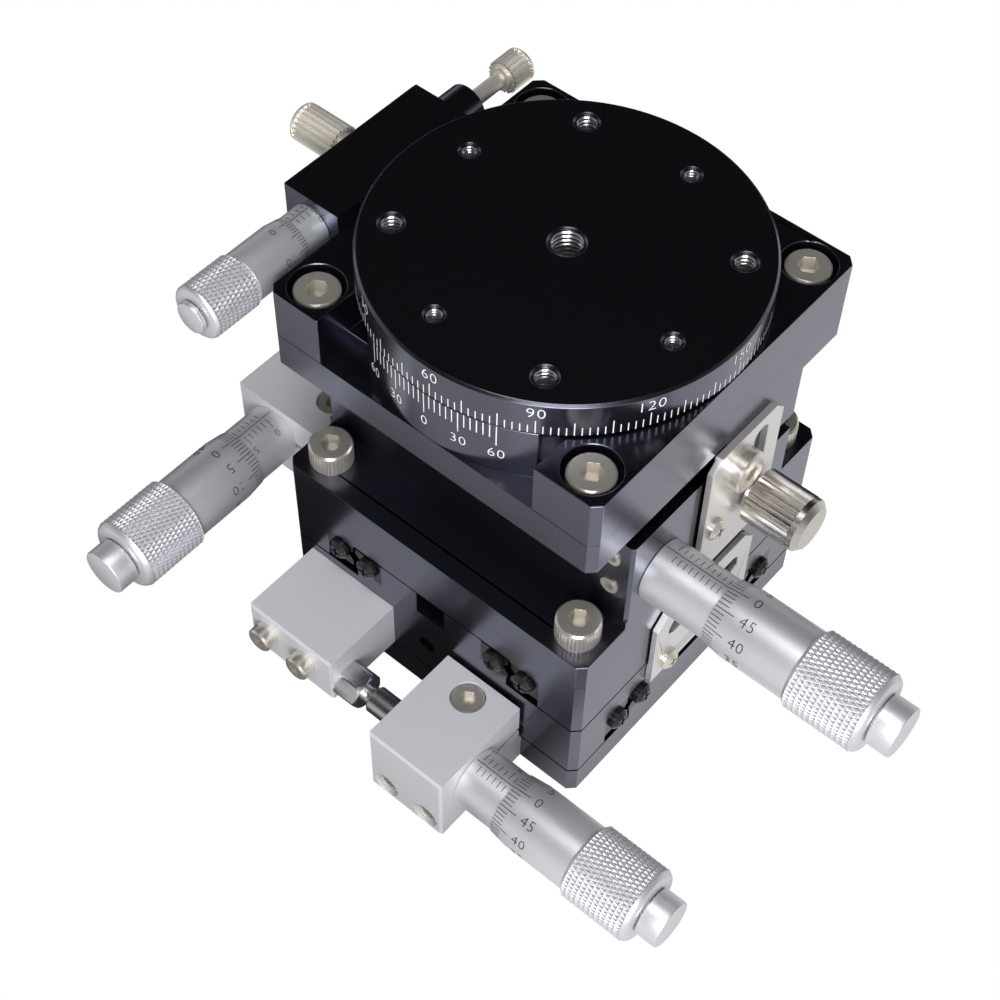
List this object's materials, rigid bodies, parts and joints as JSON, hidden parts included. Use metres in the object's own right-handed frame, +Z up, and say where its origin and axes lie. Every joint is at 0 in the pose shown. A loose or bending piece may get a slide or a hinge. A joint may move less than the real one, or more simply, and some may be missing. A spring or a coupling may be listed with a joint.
{
  "type": "multi-axis positioning stage",
  "caption": "Micrometer-driven stage: crossed-roller X and Y slides, a wedge Z lift and a fine-adjust rotary table with locking knobs.",
  "frame": {"origin": "centre of the base plate's underside", "axes": "+X along the X micrometer towards its knob, +Y away from the Y micrometer's knob, +Z up through the rotary table's axis"},
  "size_m": [0.1263, 0.1004, 0.0825],
  "materials": {
    "black_anodised": "satin black anodised",
    "blasted_aluminium": "bead-blasted, clear anodised",
    "satin_chrome": "satin chrome",
    "rail_steel": "hardened, blackened ends",
    "ground_steel": "ground",
    "nickel_screw": "nickel plated",
    "nickel_knob": "nickel plated, knurled",
    "black_screw": "black oxide",
    "lock_plate_steel": "satin plated"
  },
  "bodies": {
    "base": {"base_plate": "black_anodised", "base_rails": "rail_steel", "base_rail_stops": "black_screw", "x_mic_bracket": "blasted_aluminium", "base_bracket_screws": "nickel_screw", "x_sleeve": "satin_chrome", "x_lock_plate": "lock_plate_steel"},
    "x_cages": {"x_roller_cages": "ground_steel"},
    "x_feed_screw": {"x_spindle": "ground_steel"},
    "x_drum": {"x_thimble": "satin_chrome"},
    "x_lock": {"x_lock_knob": "nickel_knob"},
    "x_carriage": {"middle_block": "black_anodised", "middle_rails": "rail_steel", "middle_rail_stops": "black_screw", "x_anvil_block": "blasted_aluminium", "x_anvil_nut": "ground_steel", "y_mic_bracket": "blasted_aluminium", "y_sleeve": "satin_chrome", "middle_bracket_screws": "nickel_screw", "y_lock_plate": "lock_plate_steel", "y_lock_screws": "nickel_screw"},
    "y_cages": {"y_roller_cages": "ground_steel"},
    "y_feed_screw": {"y_spindle": "ground_steel"},
    "y_drum": {"y_thimble": "satin_chrome"},
    "y_lock": {"y_lock_knob": "nickel_knob"},
    "y_carriage": {"y_table_block": "black_anodised", "y_table_rails": "rail_steel", "y_table_rail_stops": "black_screw", "y_anvil_block": "blasted_aluminium", "y_anvil_screws": "nickel_screw", "y_anvil_nut": "ground_steel", "z_base_plate": "black_anodised", "z_base_screws": "nickel_screw", "z_housing": "black_anodised", "z_sleeve": "satin_chrome", "z_set_screws": "nickel_screw"},
    "z_cages": {"z_roller_cages": "ground_steel"},
    "z_feed_screw": {"z_spindle": "ground_steel"},
    "z_drum": {"z_thimble": "satin_chrome"},
    "z_wedge_block": {"z_wedge": "ground_steel"},
    "z_lock": {"z_lock_knob": "nickel_knob"},
    "z_lift": {"z_lift_block": "black_anodised", "z_lift_rails": "rail_steel", "z_top_plate": "black_anodised", "z_lock_plate": "lock_plate_steel", "z_lock_screws": "nickel_screw", "r_base": "black_anodised", "r_corner_screws": "nickel_screw", "r_vernier": "black_anodised", "r_block": "black_anodised", "r_sleeve": "satin_chrome"},
    "r_feed_screw": {"r_spindle": "ground_steel"},
    "r_drum": {"r_thimble": "satin_chrome"},
    "r_arm": {"r_arm_ring": "ground_steel"},
    "r_clamp": {"r_lock_knob": "nickel_knob"},
    "r_disc": {"r_table": "black_anodised"},
    "r_plunger": {"r_plunger_pin": "ground_steel"},
    "r_plug": {"r_plunger_screw": "nickel_knob"}
  },
  "joints": [
    {"name": "x_travel", "type": "slide", "parent": "base", "child": "x_carriage", "axis": [1, 0, 0], "range_m": [-0.0065, 0.0065]},
    {"name": "x_cage_travel", "type": "slide", "parent": "base", "child": "x_cages", "axis": [1, 0, 0], "range_m": [-0.00325, 0.00325]},
    {"name": "x_feed", "type": "slide", "parent": "base", "child": "x_feed_screw", "axis": [1, 0, 0], "range_m": [-0.0065, 0.0065]},
    {"name": "x_turn", "type": "hinge", "parent": "x_feed_screw", "child": "x_drum", "pos_m": [0.04, -0.0414, 0.0088], "axis": [1, 0, 0], "range_deg": [-4680, 4680]},
    {"name": "x_lock_turn", "type": "hinge", "parent": "x_carriage", "child": "x_lock", "pos_m": [0, 0.035, 0.0121], "axis": [0, 1, 0], "range_deg": [-90, 90]},
    {"name": "y_travel", "type": "slide", "parent": "x_carriage", "child": "y_carriage", "axis": [0, 1, 0], "range_m": [-0.0065, 0.0065]},
    {"name": "y_cage_travel", "type": "slide", "parent": "x_carriage", "child": "y_cages", "axis": [0, 1, 0], "range_m": [-0.00325, 0.00325]},
    {"name": "y_feed", "type": "slide", "parent": "x_carriage", "child": "y_feed_screw", "axis": [0, 1, 0], "range_m": [-0.0065, 0.0065]},
    {"name": "y_turn", "type": "hinge", "parent": "y_feed_screw", "child": "y_drum", "pos_m": [-0.0456, -0.04, 0.0206], "axis": [0, 1, 0], "range_deg": [-4680, 4680]},
    {"name": "y_lock_turn", "type": "hinge", "parent": "y_carriage", "child": "y_lock", "pos_m": [0.035, 0, 0.0245], "axis": [1, 0, 0], "range_deg": [-90, 90]},
    {"name": "z_travel", "type": "slide", "parent": "y_carriage", "child": "z_lift", "axis": [0, 0, 1], "range_m": [-0.00293, 0.00293]},
    {"name": "z_cage_travel", "type": "slide", "parent": "y_carriage", "child": "z_cages", "axis": [0, 0, 1], "range_m": [-0.00146, 0.00146]},
    {"name": "z_feed", "type": "slide", "parent": "y_carriage", "child": "z_feed_screw", "axis": [1, 0, 0], "range_m": [-0.0065, 0.0065]},
    {"name": "z_turn", "type": "hinge", "parent": "z_feed_screw", "child": "z_drum", "pos_m": [0.05, -0.0127, 0.0448], "axis": [1, 0, 0], "range_deg": [-4680, 4680]},
    {"name": "z_wedge_travel", "type": "slide", "parent": "y_carriage", "child": "z_wedge_block", "axis": [1, 0, 0], "range_m": [-0.0065, 0.0065]},
    {"name": "z_lock_turn", "type": "hinge", "parent": "y_carriage", "child": "z_lock", "pos_m": [0.035, 0.0087, 0.0435], "axis": [1, 0, 0], "range_deg": [-90, 90]},
    {"name": "r_feed", "type": "slide", "parent": "z_lift", "child": "r_feed_screw", "axis": [0, 1, 0], "range_m": [-0.003, 0.003]},
    {"name": "r_turn", "type": "hinge", "parent": "r_feed_screw", "child": "r_drum", "pos_m": [-0.0354, -0.03, 0.074], "axis": [0, 1, 0], "range_deg": [-2160, 2160]},
    {"name": "r_fine", "type": "hinge", "parent": "z_lift", "child": "r_arm", "pos_m": [0, 0, 0.074], "axis": [0, 0, 1], "range_deg": [-4.85, 4.85]},
    {"name": "r_coarse", "type": "hinge", "parent": "r_arm", "child": "r_disc", "pos_m": [0, 0, 0.08], "axis": [0, 0, 1], "continuous": true},
    {"name": "r_clamp_turn", "type": "hinge", "parent": "r_arm", "child": "r_clamp", "pos_m": [-0.045, 0, 0.074], "axis": [1, 0, 0], "range_deg": [-90, 90]},
    {"name": "r_plunger_travel", "type": "slide", "parent": "z_lift", "child": "r_plunger", "axis": [0, 1, 0], "range_m": [-0.003, 0.003]},
    {"name": "r_plug_turn", "type": "hinge", "parent": "z_lift", "child": "r_plug", "pos_m": [-0.0354, 0.03, 0.074], "axis": [0, 1, 0], "range_deg": [-90, 90]}
  ],
  "couplings": [
    {"joint": "x_turn", "follows": "x_travel", "rad_per_m": 12566},
    {"joint": "x_cage_travel", "follows": "x_travel", "ratio": 0.5},
    {"joint": "x_feed", "follows": "x_travel", "ratio": 1},
    {"joint": "y_turn", "follows": "y_travel", "rad_per_m": 12566},
    {"joint": "y_cage_travel", "follows": "y_travel", "ratio": 0.5},
    {"joint": "y_feed", "follows": "y_travel", "ratio": 1},
    {"joint": "z_turn", "follows": "z_travel", "rad_per_m": -27925},
    {"joint": "z_feed", "follows": "z_travel", "ratio": -2.2222},
    {"joint": "z_wedge_travel", "follows": "z_travel", "ratio": -2.2222},
    {"joint": "z_cage_travel", "follows": "z_travel", "ratio": 0.5},
    {"joint": "r_feed", "follows": "r_fine", "m_per_rad": -0.0354},
    {"joint": "r_turn", "follows": "r_fine", "ratio": -444.85},
    {"joint": "r_plunger_travel", "follows": "r_fine", "m_per_rad": -0.0354}
  ]
}
